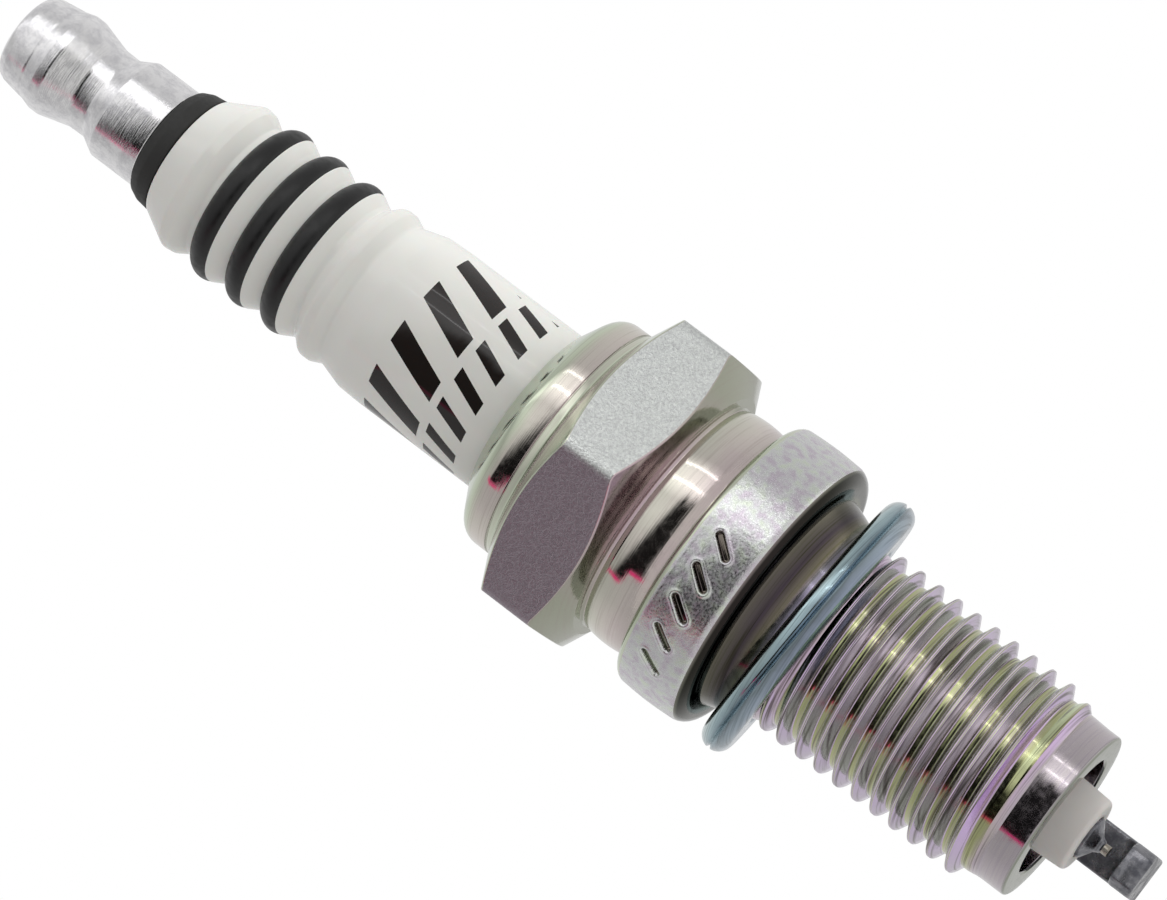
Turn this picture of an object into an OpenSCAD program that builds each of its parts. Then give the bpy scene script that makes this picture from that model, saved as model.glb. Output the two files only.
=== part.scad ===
// Motorcycle spark plug with an M12 thread, 19 mm reach and an 18 mm hexagon.
// Axis along Z. The origin is the centre of the gasket seat, and +Z points to the terminal.

/* [Thread] */
// Major diameter of the M12 x 1.25 thread, within its tolerance
thread_d = 11.88; // [11.76:0.01:11.98]
// Pitch of the thread
thread_pitch = 1.25; // [1:0.25:1.5]
// Depth of the thread
thread_depth = 0.7; // [0.5:0.05:0.76]
// Reach from the gasket seat to the end face
reach = 19; // [18.6:0.1:19.4]
// Diameter of the neck that the gasket hangs on
neck_d = 10.5; // [10.2:0.1:10.7]
// Diameter of the plain pilot below the thread
pilot_d = 10.28; // [10:0.02:10.5]

/* [Shell] */
// Width across the flats of the hexagon
hex_af = 17.9; // [17.8:0.1:18]
// Height of the hexagon
hex_h = 5.8; // [5.6:0.1:6.4]
// Diameter of the flange
flange_d = 16.7; // [16.2:0.1:17]
// Height of the flange
flange_h = 4.7; // [4.5:0.05:5]
// Diameter of the shrunk neck between flange and hexagon
waist_d = 14.6; // [14:0.1:14.8]
// Diameter of the crimped collar above the hexagon
collar_d = 14.56; // [14.2:0.02:14.8]
// Top of the crimped lip above the seat
lip_top = 16.95; // [16.8:0.05:17.2]
// Bore of the shell round the insulator's thick part
shell_bore_d = 12.5; // [12.4:0.05:12.6]
// Bore of the shell through the upper thread
reach_bore_d = 8.3; // [8.2:0.05:8.4]
// Bore of the shell round the insulator's nose
nose_bore_d = 7.3; // [7.1:0.05:7.4]

/* [Flange slots] */
// Number of slanted slots stamped in the flange
slot_count = 5; // [1:1:8]
// Angle between one slot and the next
slot_step = 13.9; // [12:0.1:16]
// Depth of a slot
slot_depth = 0.3; // [0.15:0.05:0.4]

/* [Gasket] */
// Outer diameter of the crush gasket
gasket_d = 16.7; // [16:0.1:16.8]
// Inner diameter of the crush gasket
gasket_hole_d = 11.6; // [11.4:0.05:11.8]
// Height of the gasket's two folds
gasket_h = 1.76; // [1.5:0.02:1.8]
// Angle at which the loose gasket hangs
gasket_cant = 8.9; // [0:0.1:9]
// Direction of the gasket's raised side, from +X
gasket_high_side = 107.6; // [90:0.1:120]

/* [Insulator] */
// Diameter of the insulator's barrel
barrel_d = 10.1; // [9.9:0.05:10.1]
// Diameter over the white ribs
rib_d = 9.7; // [9.5:0.05:9.8]
// Distance from one rib to the next
rib_pitch = 2.48; // [2.4:0.01:2.5]
// Height of the topmost black ring above the seat
ring_top = 36.5; // [36.4:0.05:36.6]
// Radius of a black ring's rounded face
ring_face_r = 0.99; // [0.95:0.01:1]
// Diameter of the insulator's nose at its end
nose_d = 4.4; // [4.2:0.05:4.5]
// Distance that the nose stands out of the shell
nose_out = 1.7; // [1.5:0.1:1.8]

/* [Terminal] */
// Height of the terminal's top above the seat
terminal_top = 52.85; // [52.6:0.05:53.4]
// Height of the terminal nut's foot above the seat
nut_foot = 42.6; // [42.5:0.05:42.7]
// Largest diameter of the terminal nut
nut_d = 6.26; // [6.2:0.02:6.35]
// Diameter of the nut's waist
nut_waist_d = 5.1; // [5:0.05:5.3]
// Thread diameter of the terminal stud
stud_d = 4; // [3.9:0.05:4]
// Pitch of the stud's thread
stud_pitch = 0.7; // [0.5:0.1:0.7]

/* [Electrodes] */
// Diameter of the centre electrode
electrode_d = 2.5; // [2.3:0.05:2.5]
// Diameter of the iridium tip
tip_d = 0.6; // [0.4:0.05:0.7]
// Spark gap
gap = 0.9; // [0.7:0.05:1]
// Width of the ground electrode
strap_w = 2.7; // [2.4:0.05:2.8]
// Thickness of the ground electrode
strap_t = 1.38; // [1.2:0.02:1.4]

/* [Hidden] */
$fn = 96;

// radii
thread_r = thread_d / 2;
root_r = thread_r - thread_depth;
neck_r = neck_d / 2;
pilot_r = pilot_d / 2;
flange_r = flange_d / 2;
waist_r = waist_d / 2;
collar_r = collar_d / 2;
shell_bore_r = shell_bore_d / 2;
reach_bore_r = reach_bore_d / 2;
nose_bore_r = nose_bore_d / 2;
barrel_r = barrel_d / 2;
rib_r = rib_d / 2;
nose_r = nose_d / 2;
nut_r = nut_d / 2;
nut_waist_r = nut_waist_d / 2;
electrode_r = electrode_d / 2;
gasket_r = gasket_d / 2;

// heights up the shell
thread_first = -4.28;
thread_turns = 10;
hex_z = 7.8;
hex_top = hex_z + hex_h;
hex_chamfer = tan(30);
bore_step_z = 2.7;
seat_step_z = -9.4;

// the insulator inside the shell
shoulder_r = 6.15;
shoulder_z = [2.9, 9.2];
throat_r = reach_bore_r - 0.1;
wall_gap = 0.05;
barrel_draft = 0.02;
packing_t = 0.4;
insulator_bore_r = 1.95;
electrode_seat_z = -7.4;
stub_r = 2.95;
ring_groove_r = 3.55;
seal_ring_z = [41.15, 42.55];
nose_z = -reach - nose_out;

// the packing between barrel and shell
wire_r = (shell_bore_r - barrel_r) / 2 - 0.01;
wire_mid_r = (shell_bore_r + barrel_r) / 2;
wire_z = [10.85, 15.1];

// the seal down the insulator's bore
stud_foot_z = 9.5;
seal_z = [-4.6, -0.8, 7.6, 13];
stud_play = 0.05;
stud_top = terminal_top - 2.2;

// the electrodes
electrode_end_z = nose_z - 0.15;
tip_end_z = electrode_end_z - 1.2;
arm_z = tip_end_z - gap;
leg_y = nose_bore_r + 0.05;
bend_r = 1.2;
strap_reach = 1.15;
strap_tip_w = 1.9;

// the gasket's pivot: the point of its upper face that rests on the seat
gasket_play = 0.03;
gasket_pivot_r = 7;
bead_w = gasket_r - gasket_hole_d / 2;

// points of an arc round (cr, cz), as [radius, height] pairs
function arc(cr, cz, rad, from, to, n = 8) =
    [for (i = [0:n]) let (a = from + (to - from) * i / n) [cr + rad * cos(a), cz + rad * sin(a)]];

// points of a smooth S from one [radius, height] to another
function ease(a, b, n = 10) =
    [for (i = [0:n]) [a[0] + (b[0] - a[0]) * (1 - cos(180 * i / n)) / 2, a[1] + (b[1] - a[1]) * i / n]];

// outline of ring threads below height top, one truncated V per turn
function thread_outline(r, depth, pitch, top, turns) =
    [for (i = [0:turns - 1]) let (z = top - i * pitch)
        each [[r - depth, z + pitch * 0.44], [r, z + pitch * 0.09],
              [r, z - pitch * 0.09], [r - depth, z - pitch * 0.44]]];

module turned(points) {
    rotate_extrude() polygon(points);
}

module tube(r_out, r_in, z0, z1) {
    turned([[r_in, z0], [r_out, z0], [r_out, z1], [r_in, z1]]);
}

// one slanted slot with round ends, lying in the flange's face
module slot() {
    slot_l = 1.7;
    slot_r = 0.21;
    rotate([90, 0, 0])
        rotate([0, 0, -38])
            linear_extrude(2) union() {
                square([slot_r * 2, slot_l - slot_r * 2], center = true);
                for (s = [-1, 1]) translate([0, s * (slot_l / 2 - slot_r)]) circle(slot_r, $fn = 24);
            }
}

module hexagon() {
    corner_r = hex_af / 2 / cos(30);
    rise = (corner_r - hex_af / 2) * hex_chamfer;
    face_r = 8;
    drop = (corner_r + 0.5 - face_r) * hex_chamfer;
    intersection() {
        translate([0, 0, hex_z]) rotate([0, 0, 90]) cylinder(h = hex_h, r = corner_r, $fn = 6);
        turned([[0, hex_z], [face_r, hex_z], [corner_r + 0.5, hex_z + drop],
                [corner_r + 0.5, hex_top - drop], [face_r, hex_top], [0, hex_top]]);
    }
}

module shell_body() {
    lip_r = 1.15;
    lip_a = 62;
    flange_round = 1;
    turned(concat(
        [[0, -reach], [pilot_r - 0.25, -reach], [pilot_r, -reach + 0.25], [pilot_r, -reach + 1.6]],
        [[root_r, -reach + 1.9], [root_r, thread_first - (thread_turns - 0.5) * thread_pitch]],
        [for (i = [thread_turns - 1:-1:0]) let (z = thread_first - i * thread_pitch)
            each [[root_r, z - thread_pitch * 0.44], [thread_r, z - thread_pitch * 0.09],
                  [thread_r, z + thread_pitch * 0.09], [root_r, z + thread_pitch * 0.44]]],
        [[neck_r, thread_first + thread_pitch * 0.7], [neck_r, -0.3], [neck_r + 0.3, 0]],
        [[flange_r - flange_round - 0.1, 0]],
        arc(flange_r - flange_round, flange_round, flange_round, -80, 0),
        arc(flange_r - 0.6, flange_h - 0.6, 0.6, 0, 70),
        [[waist_r + 0.15, flange_h], [waist_r - 0.1, flange_h + 0.15]],
        arc(waist_r - 2, (flange_h + hex_z) / 2, 2, -30, 30),
        [[waist_r - 0.1, hex_z - 0.15], [waist_r - 0.1, hex_z + 0.1], [collar_r, hex_top - 0.1]],
        [[collar_r + 0.3, hex_top], [collar_r, hex_top + 0.5]],
        arc(collar_r - lip_r, lip_top - 1.9, lip_r, 0, lip_a),
        [[barrel_r + 0.4, lip_top], [0, lip_top]]));
}

module shell_cavity() {
    turned([[0, -reach - 1], [nose_bore_r, -reach - 1], [nose_bore_r, seat_step_z - 1],
            [reach_bore_r, seat_step_z], [reach_bore_r, bore_step_z - 1.6],
            [shell_bore_r, bore_step_z], [shell_bore_r, wire_z[1] + wire_r + 0.02],
            [barrel_r + wall_gap / 2, wire_z[1] + wire_r + 0.02],
            [barrel_r + wall_gap / 2, lip_top + 1], [0, lip_top + 1]]);
}

module metal_shell() {
    color("lightsteelblue") difference() {
        union() {
            shell_body();
            hexagon();
        }
        shell_cavity();
        for (i = [0:slot_count - 1])
            rotate([0, 0, -i * slot_step + 4]) translate([0, -flange_r + slot_depth, 2.62]) slot();
    }
}

// the strap's outline in the YZ plane: up the leg, round the bend and along the arm
module strap_outline() {
    bend_y = leg_y - bend_r;
    bend_z = arm_z + bend_r;
    polygon(concat(
        [[leg_y + strap_t, -reach], [leg_y, -reach]],
        arc(bend_y, bend_z, bend_r, 0, -90),
        [[-strap_reach, arm_z], [-strap_reach, arm_z - strap_t]],
        arc(bend_y, bend_z, bend_r + strap_t, -90, 0)));
}

module ground_electrode() {
    color("dimgray") intersection() {
        translate([strap_w / 2, 0, 0]) rotate([90, 0, -90])
            mirror([1, 0, 0]) linear_extrude(strap_w) strap_outline();
        translate([0, 0, arm_z - strap_t - 1]) linear_extrude(10)
            polygon([[-strap_tip_w / 2, -strap_reach - 1], [strap_tip_w / 2, -strap_reach - 1],
                     [strap_tip_w / 2, -strap_reach], [strap_w / 2, 0.9], [strap_w / 2, 8],
                     [-strap_w / 2, 8], [-strap_w / 2, 0.9], [-strap_tip_w / 2, -strap_reach]]);
    }
}

// the upset seam on both sides of the strap's foot
module ground_electrode_weld() {
    seam = 0.35;
    color("gray") for (s = [-1, 1])
        translate([s * strap_w / 2, leg_y, -reach]) rotate([-90, 0, 0])
            linear_extrude(strap_t - 0.35) polygon([[0, 0], [s * seam, 0], [0, seam]]);
}

module gasket_flat() {
    bead_r = gasket_h / 4;
    groove = 0.06;
    translate([0, 0, -gasket_play]) rotate_extrude() union() {
        for (k = [1, 3]) translate([gasket_r - bead_w / 2, -k * bead_r]) union() {
            square([bead_w - bead_r * 2, bead_r * 2 - groove], center = true);
            for (s = [-1, 1]) translate([s * (bead_w / 2 - bead_r), 0]) circle(bead_r - groove / 2, $fn = 32);
        }
        translate([gasket_r - bead_w / 2, -gasket_h / 2])
            square([bead_w - bead_r * 2.6, bead_r], center = true);
    }
}

module gasket() {
    pivot = gasket_pivot_r * [cos(gasket_high_side), sin(gasket_high_side), 0];
    color("slategray") translate(pivot)
        rotate([0, 0, gasket_high_side]) rotate([0, -gasket_cant, 0]) rotate([0, 0, -gasket_high_side])
            translate(-pivot) gasket_flat();
}

// outline of one black ring: a round face over a flat back
module ring_section(z) {
    intersection() {
        translate([rib_r - ring_face_r, z]) circle(ring_face_r);
        translate([ring_groove_r, z - 2]) square([3, 4]);
    }
}

module insulator_ring(i) {
    color([0.06, 0.06, 0.07]) rotate_extrude() ring_section(ring_top - i * rib_pitch);
}

module insulator_ring_upper() { insulator_ring(0); }
module insulator_ring_middle() { insulator_ring(1); }
module insulator_ring_lower() { insulator_ring(2); }

module insulator() {
    crest_top = ring_top + rib_pitch;
    crest_low = ring_top - 3 * rib_pitch;
    color("ghostwhite") difference() {
        turned(concat(
            [[0, nose_z], [nose_r - 0.25, nose_z], [nose_r, nose_z + 0.25], [nose_r + 0.55, -12.5]],
            ease([nose_r + 0.55, -12.5], [nose_bore_r - 0.35, seat_step_z - 1 + packing_t], 6),
            [[nose_bore_r - 0.05, seat_step_z - 1 + packing_t], [throat_r, seat_step_z + packing_t]],
            [[throat_r, shoulder_z[0] - 1.8], [shoulder_r, shoulder_z[0]], [shoulder_r, shoulder_z[1]]],
            [[barrel_r - barrel_draft, shoulder_z[1] + 0.9], [barrel_r, lip_top]],
            ease([barrel_r, 25.6], [rib_r - 0.17, 28], 10),
            ease([rib_r - 0.17, 28.1], [rib_r, crest_low], 6),
            ease([rib_r, crest_low], [rib_r - 0.55, crest_low + 1.2], 8),
            [for (i = [2:-1:0]) let (z = ring_top - i * rib_pitch)
                each [[rib_r - 0.5, z - 1.2], [rib_r - 0.16, z - 0.56],
                      [rib_r - 0.4, z], [rib_r - 0.66, z + 0.86]]],
            ease([rib_r - 0.68, ring_top + 1.4], [rib_r - 0.17, crest_top], 8),
            [[rib_r - 0.24, crest_top + 0.3], [rib_r - 1.09, seal_ring_z[0] - 0.05]],
            [[rib_r - 1.14, seal_ring_z[0]], [stub_r, seal_ring_z[0]], [stub_r, nut_foot], [0, nut_foot]]));
        for (i = [0:2]) rotate_extrude() ring_section(ring_top - i * rib_pitch);
        turned([[0, nose_z - 1], [electrode_r + wall_gap, nose_z - 1],
                [electrode_r + wall_gap, electrode_seat_z - 0.7], [insulator_bore_r, electrode_seat_z],
                [insulator_bore_r, nut_foot - 0.25], [insulator_bore_r + 0.2, nut_foot + 0.01], [0, nut_foot + 0.01]]);
    }
}

module terminal_seal_ring() {
    color([0.18, 0.18, 0.19])
        turned(concat([[stub_r, seal_ring_z[0]], [rib_r - 1.17, seal_ring_z[0]]],
                      arc(rib_r - 2.01, seal_ring_z[0] + 0.5, 0.85, -10, 80), [[stub_r, seal_ring_z[1] - 0.15]]));
}

module terminal_nut() {
    bore_r = stud_d / 2 + stud_play;
    waist_z = nut_foot + 4.15;
    band_z = nut_foot + 7.1;
    color("silver") difference() {
        turned(concat(
            [[0, nut_foot], [nut_r - 0.15, nut_foot], [nut_r, nut_foot + 0.15]],
            ease([nut_r, waist_z - 1.2], [nut_waist_r, waist_z], 8),
            ease([nut_waist_r, waist_z + 0.5], [nut_r, band_z], 12),
            [[nut_r, band_z + 0.4], [nut_r - 0.16, band_z + 1.15], [nut_r - 0.38, terminal_top - 0.5]],
            arc(nut_r - 0.88, terminal_top - 0.48, 0.48, 0, 90),
            [[0, terminal_top]]));
        translate([0, 0, nut_foot - 1]) cylinder(h = stud_top - nut_foot + 1.3, r = bore_r);
    }
}

module terminal_stud() {
    shaft_r = 1.55;
    crest_r = stud_d / 2;
    turns = floor((stud_top - nut_foot - 0.6) / stud_pitch);
    color("darkgray") turned(concat(
        [[0, stud_foot_z], [insulator_bore_r - 0.35, stud_foot_z]],
        [for (i = [0:4]) each [[insulator_bore_r - 0.25, stud_foot_z + 0.3 + i * 0.7],
                               [insulator_bore_r - 0.5, stud_foot_z + 0.65 + i * 0.7]]],
        [[shaft_r, stud_foot_z + 4.2], [shaft_r, nut_foot - 3], [insulator_bore_r - 0.02, nut_foot - 2.8],
         [insulator_bore_r - 0.02, nut_foot - 0.3], [crest_r - 0.42, nut_foot - 0.1]],
        [for (i = [turns - 1:-1:0]) let (z = stud_top - 0.6 - i * stud_pitch)
            each [[crest_r - 0.42, z - stud_pitch * 0.44], [crest_r, z - stud_pitch * 0.09],
                  [crest_r, z + stud_pitch * 0.09], [crest_r - 0.42, z + stud_pitch * 0.44]]],
        [[crest_r - 0.5, stud_top], [0, stud_top]]));
}

module upper_glass_seal() {
    color("darkslategray") difference() {
        turned([[0, seal_z[2]], [insulator_bore_r, seal_z[2]], [insulator_bore_r, seal_z[3]], [0, seal_z[3]]]);
        terminal_stud();
    }
}

module resistor() {
    color([0.25, 0.22, 0.2]) tube(insulator_bore_r, 0, seal_z[1], seal_z[2]);
}

module lower_glass_seal() {
    color("darkslategray") difference() {
        turned([[0, electrode_seat_z], [insulator_bore_r, electrode_seat_z],
                [insulator_bore_r, seal_z[1]], [0, seal_z[1]]]);
        centre_electrode_body();
    }
}

module centre_electrode_body() {
    turned([[0, electrode_end_z - 0.62], [0.42, electrode_end_z - 0.62], [0.5, electrode_end_z - 0.5],
            [electrode_r, electrode_end_z], [electrode_r, electrode_seat_z - 0.72],
            [insulator_bore_r - 0.06, electrode_seat_z - 0.02], [insulator_bore_r - 0.06, electrode_seat_z + 0.7],
            [electrode_r - 0.1, electrode_seat_z + 1.1], [electrode_r - 0.1, seal_z[0] - 0.3],
            [electrode_r - 0.4, seal_z[0]], [0, seal_z[0]]]);
}

module copper_core() {
    color("peru") turned([[0, nose_z + 1.4], [0.7, nose_z + 2], [0.7, seal_z[0] - 0.6], [0, seal_z[0] - 0.6]]);
}

module iridium_tip() {
    color("gainsboro") translate([0, 0, tip_end_z])
        cylinder(h = electrode_end_z - tip_end_z + 0.2, r = tip_d / 2);
}

module centre_electrode() {
    color("gray") difference() {
        centre_electrode_body();
        copper_core();
        iridium_tip();
    }
}

// the laser seam fills the corner between wire and electrode
module tip_weld() {
    top = electrode_end_z - 0.62;
    color("dimgray") turned([[tip_d / 2, top], [0.42, top], [0.38, top - 0.12], [tip_d / 2, top - 0.2]]);
}

module packing_ring(z) {
    color("gray") rotate_extrude() translate([wire_mid_r, z]) circle(wire_r);
}

module upper_packing_ring() { packing_ring(wire_z[1]); }
module lower_packing_ring() { packing_ring(wire_z[0]); }

module talc_packing() {
    color("beige") difference() {
        tube(shell_bore_r, barrel_r, wire_z[0], wire_z[1]);
        packing_ring(wire_z[0]);
        packing_ring(wire_z[1]);
    }
}

module seat_packing() {
    color("rosybrown") turned([[nose_bore_r, seat_step_z - 1], [reach_bore_r, seat_step_z],
                               [throat_r, seat_step_z + packing_t - 0.02],
                               [nose_bore_r - 0.05, seat_step_z - 1 + packing_t - 0.02]]);
}

metal_shell();
ground_electrode();
ground_electrode_weld();
gasket();
insulator();
terminal_seal_ring();
insulator_ring_upper();
insulator_ring_middle();
insulator_ring_lower();
terminal_nut();
terminal_stud();
upper_glass_seal();
resistor();
lower_glass_seal();
centre_electrode();
copper_core();
iridium_tip();
tip_weld();
upper_packing_ring();
talc_packing();
lower_packing_ring();
seat_packing();
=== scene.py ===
import bpy
import math
import numpy as np
from mathutils import Matrix, Vector


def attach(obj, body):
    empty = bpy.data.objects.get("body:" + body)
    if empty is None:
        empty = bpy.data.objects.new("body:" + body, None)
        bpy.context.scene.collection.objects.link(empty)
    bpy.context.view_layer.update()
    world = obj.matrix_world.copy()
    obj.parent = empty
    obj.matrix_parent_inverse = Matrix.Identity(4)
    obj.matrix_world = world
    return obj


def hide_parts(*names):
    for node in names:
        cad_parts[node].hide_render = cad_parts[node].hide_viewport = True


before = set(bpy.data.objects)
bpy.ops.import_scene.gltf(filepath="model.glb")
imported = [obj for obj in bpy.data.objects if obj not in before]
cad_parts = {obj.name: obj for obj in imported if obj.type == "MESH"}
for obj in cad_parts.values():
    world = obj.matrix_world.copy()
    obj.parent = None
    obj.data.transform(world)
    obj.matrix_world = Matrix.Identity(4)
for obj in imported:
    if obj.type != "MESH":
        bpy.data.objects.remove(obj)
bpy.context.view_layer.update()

mm = 0.001   # the values below are in millimetres, Blender works in metres


def arcLine(corners, steps=5):
    # Each corner (radius, height, fillet) is replaced by an arc tangent to both of its sides. The arc's
    # points are the two tangent points blended along the circle. Radius and height may be whole arrays
    # over the turn, so one call also rounds an edge that runs around a hexagon.
    wholeSide, halfSide = 0.98, 0.49   # the share of a side that a fillet may use
    turn = np.broadcast_shapes(*[np.shape(c[0]) for c in corners], *[np.shape(c[1]) for c in corners])
    spots = [np.stack([np.broadcast_to(c[0], turn), np.broadcast_to(c[1], turn)], -1) for c in corners]
    rows = [spots[0]]
    for k in range(1, len(corners) - 1):
        here, fillet = spots[k].astype(float), corners[k][2]
        if fillet <= 0:
            rows.append(here)
            continue
        back, ahead = spots[k - 1] - here, spots[k + 1] - here
        backLength = np.linalg.norm(back, axis=-1, keepdims=True)
        aheadLength = np.linalg.norm(ahead, axis=-1, keepdims=True)
        back, ahead = back / backLength, ahead / aheadLength
        middle = back + ahead
        middleLength = np.linalg.norm(middle, axis=-1, keepdims=True)
        if middleLength.min() < 1e-4:   # a straight run needs no arc
            rows.append(here)
            continue
        opening = np.arccos(np.clip(np.sum(back * ahead, -1, keepdims=True), -0.99999, 0.99999))
        backShare = wholeSide if k == 1 or corners[k - 1][2] <= 0 else halfSide
        aheadShare = wholeSide if k == len(corners) - 2 or corners[k + 1][2] <= 0 else halfSide
        room = np.minimum(backShare * backLength, aheadShare * aheadLength)
        reach = np.minimum(fillet / np.tan(opening / 2), room)
        radius = reach * np.tan(opening / 2)
        centre = here + middle / middleLength * radius / np.sin(opening / 2)
        first, last, sweep = here + back * reach - centre, here + ahead * reach - centre, np.pi - opening
        for w in np.linspace(0, 1, steps + 1):
            blend = first * np.sin((1 - w) * sweep) + last * np.sin(w * sweep)
            rows.append(centre + blend / np.sin(sweep))
    rows.append(spots[-1])
    return np.array(rows, float)


def gridFaces(rows, columns, loop):
    # quads between neighbouring rows and columns; the columns always meet round the axis
    i, j = np.meshgrid(np.arange(rows if loop else rows - 1), np.arange(columns), indexing="ij")
    down, right = (i + 1) % rows, (j + 1) % columns
    quads = [i * columns + j, down * columns + j, down * columns + right, i * columns + right]
    return np.stack(quads, -1).reshape(-1, 4)


def poleFan(pole, ring):
    # triangles from one vertex to every side of a ring: pole, ring vertex, next ring vertex
    return np.stack([np.full_like(ring, pole), ring, np.roll(ring, -1)], -1).tolist()


def aroundAxis(profile, angles):
    # x = r cos(angle), y = r sin(angle), z = height, for every row of the profile and every angle
    if profile.ndim == 2:
        profile = np.repeat(profile[:, None, :], len(angles), axis=1)
    r, z = profile[..., 0], profile[..., 1]
    return np.stack([r * np.cos(angles), r * np.sin(angles), z], -1)


def makePiece(name, points, faces, materials, body, replaced, faceMaterials=None, sharpAngle=38):
    # the signed volume, a sum over the faces' corners, says whether the faces point outwards
    points = np.asarray(points, float).reshape(-1, 3)
    corners = np.array([[f[0], f[k], f[k + 1]] for f in faces for k in range(1, len(f) - 1)])
    a, b, c = points[corners[:, 0]], points[corners[:, 1]], points[corners[:, 2]]
    if np.sum(a * np.cross(b, c)) < 0:
        faces = [f[::-1] for f in faces]
    mesh = bpy.data.meshes.new(name)
    mesh.from_pydata((points * mm).tolist(), [], faces)
    mesh.polygons.foreach_set("use_smooth", np.ones(len(faces), bool))
    for material in materials:
        mesh.materials.append(material)
    if faceMaterials is not None:
        mesh.polygons.foreach_set("material_index", np.asarray(faceMaterials, np.int32))
    mesh.set_sharp_from_angle(angle=math.radians(sharpAngle))
    mesh.update()
    piece = bpy.data.objects.new(name, mesh)
    bpy.context.scene.collection.objects.link(piece)
    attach(piece, body)
    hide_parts(*replaced)
    return piece


def turnedPiece(name, corners, materials, body, replaced,
                columns=160, loop=False, steps=6, place=None):
    # A profile spun about Z. A loop closes on itself like a ring; otherwise both ends lie on the axis and
    # each gets one pole vertex with a fan of triangles.
    profile = arcLine(corners, steps)
    angles = np.arange(columns) * 2 * np.pi / columns
    rings = profile if loop else profile[1:-1]
    points = aroundAxis(rings, angles).reshape(-1, 3)
    faces = gridFaces(len(rings), columns, loop).tolist()
    if not loop:
        pole, around = len(points), np.arange(columns)
        points = np.vstack([points, [0, 0, profile[0][1]], [0, 0, profile[-1][1]]])
        faces += poleFan(pole, around) + poleFan(pole + 1, pole - 1 - around)
    if place is not None:
        points = place(points)
    return makePiece(name, points, faces, materials, body, replaced)


def linear(hexColour):
    # an sRGB hex value to the linear colour that shaders take
    parts = [int(hexColour[k:k + 2], 16) / 255 for k in (1, 3, 5)]
    return tuple(p / 12.92 if p <= 0.04045 else ((p + 0.055) / 1.055) ** 2.4 for p in parts) + (1.0,)


def grey(value):
    return (value, value, value, 1.0)


def perMm(size):
    # the noise scale that gives features of about this many millimetres on coordinates in metres
    return 1 / (size * mm)


def feed(tree, node, inputs):
    # an input is another node's output, a colour in hex or a plain value
    for socket, source in inputs.items():
        if isinstance(source, bpy.types.NodeSocket):
            tree.links.new(source, node.inputs[socket])
        else:
            node.inputs[socket].default_value = linear(source) if isinstance(source, str) else source


def addNode(tree, kind, inputs=None, stops=None, **settings):
    # adds one node with its settings and inputs; stops are a ramp's places with a hex colour or a grey
    made = tree.nodes.new(kind)
    for key, value in settings.items():
        setattr(made, key, value)
    feed(tree, made, inputs or {})
    if stops:
        ramp = made.color_ramp.elements
        while len(ramp) < len(stops):
            ramp.new(0.5)
        for element, (place, colour) in zip(ramp, stops):
            element.position = place
            element.color = linear(colour) if isinstance(colour, str) else grey(colour)
    return made


def calculate(tree, operation, a, b=0.0, c=0.0):
    # one step of arithmetic on outputs or plain numbers
    return addNode(tree, "ShaderNodeMath", {0: a, 1: b, 2: c}, operation=operation).outputs[0]


def newMaterial(name):
    # a material with its shader and its own coordinates, in metres
    material = bpy.data.materials.new(name)
    material.use_nodes = True
    tree = material.node_tree
    tree.nodes.clear()
    shader = addNode(tree, "ShaderNodeBsdfPrincipled")
    addNode(tree, "ShaderNodeOutputMaterial", {"Surface": shader.outputs["BSDF"]})
    coords = addNode(tree, "ShaderNodeTexCoord")
    return material, tree, shader, coords


plateValues = {
    "lathe": (0.16, 0.16, 12.0), "latheSize": 1.1,        # stretch and size of the noise for lathe lines
    "oliveFrom": 2.0, "oliveTo": 7.0, "olive": 0.75,      # sideways distances, and the olive's strength
    "pilotFrom": -16.9, "pilotTo": -17.3, "pilotColour": "#C6BCC6",
    "endFrom": -18.8, "endTo": -18.95, "endColour": "#868E7C",
    "seatShadeTop": (0.95, 0.45), "seatShadeEnd": (-2.3, -1.5),     # heights between which the painted seat shade fades
    # radii and colours of the painted shade rings, with painted reflection gleams, under the flange and
    # round the neck
    "seatShadeInner": 5.2, "seatShadeOuter": 8.4,
    "seatShadeRings": [(0.0, "#4A4438"), (0.1, "#6E6258"), (0.16, "#B79FA6"), (0.2, "#2A241C"),
                  (0.3, "#6D6A50"), (0.38, "#1E1C14"), (0.5, "#57583F"), (0.6, "#1A1913"),
                  (0.93, "#1B1B16"), (1.0, "#6E7262")],
}


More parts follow.
